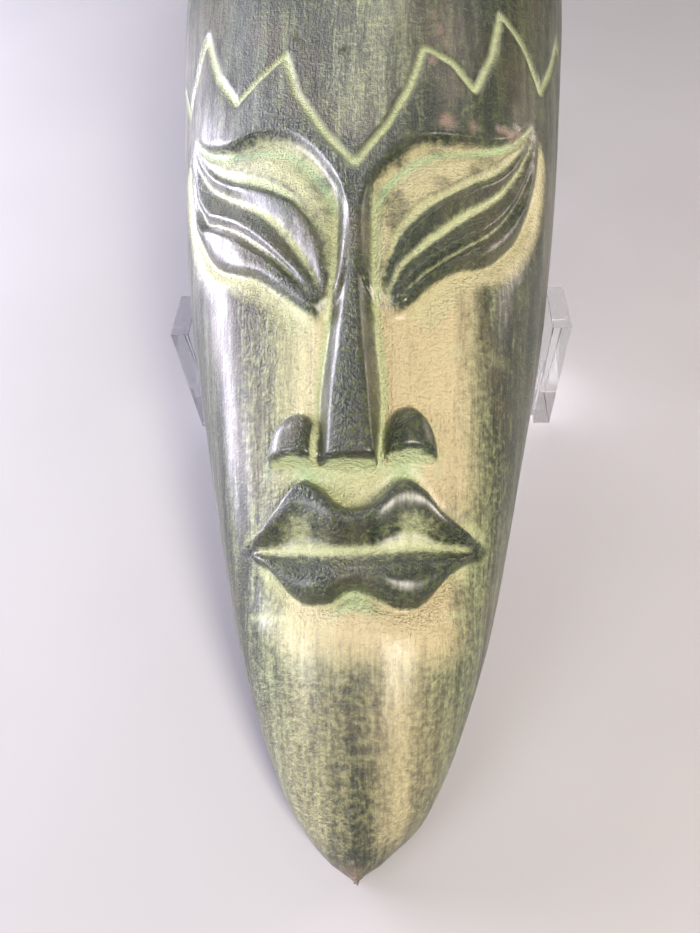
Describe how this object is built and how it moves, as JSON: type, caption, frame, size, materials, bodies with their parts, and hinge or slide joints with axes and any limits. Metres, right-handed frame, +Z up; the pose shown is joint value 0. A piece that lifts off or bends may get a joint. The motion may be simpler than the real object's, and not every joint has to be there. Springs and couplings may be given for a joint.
{
  "type": "tall carved wooden face mask in a display cradle",
  "caption": "Tall carved wooden face mask with closed leaf-shaped eyes and a zigzag brow band, hollow behind, leaning in a clear acrylic cradle.",
  "frame": {"origin": "middle of the footprint, on the surface that the chin tip and the cradle stand on", "axes": "+Z up; the chin tip points to -Y and the crown to +Y; +X is to the right as the face is looked at from the chin end"},
  "size_m": [0.1542, 0.4766, 0.1643],
  "materials": {
    "patinated_wood": "carved wood with a waxed dark green to black patina, rubbed back to yellow-green and cream in the recesses",
    "clear_acrylic": "clear polished acrylic sheet, bonded edges"
  },
  "bodies": {
    "root": {"mask": "patinated_wood", "acrylic_cradle": "clear_acrylic"}
  },
  "joints": []
}
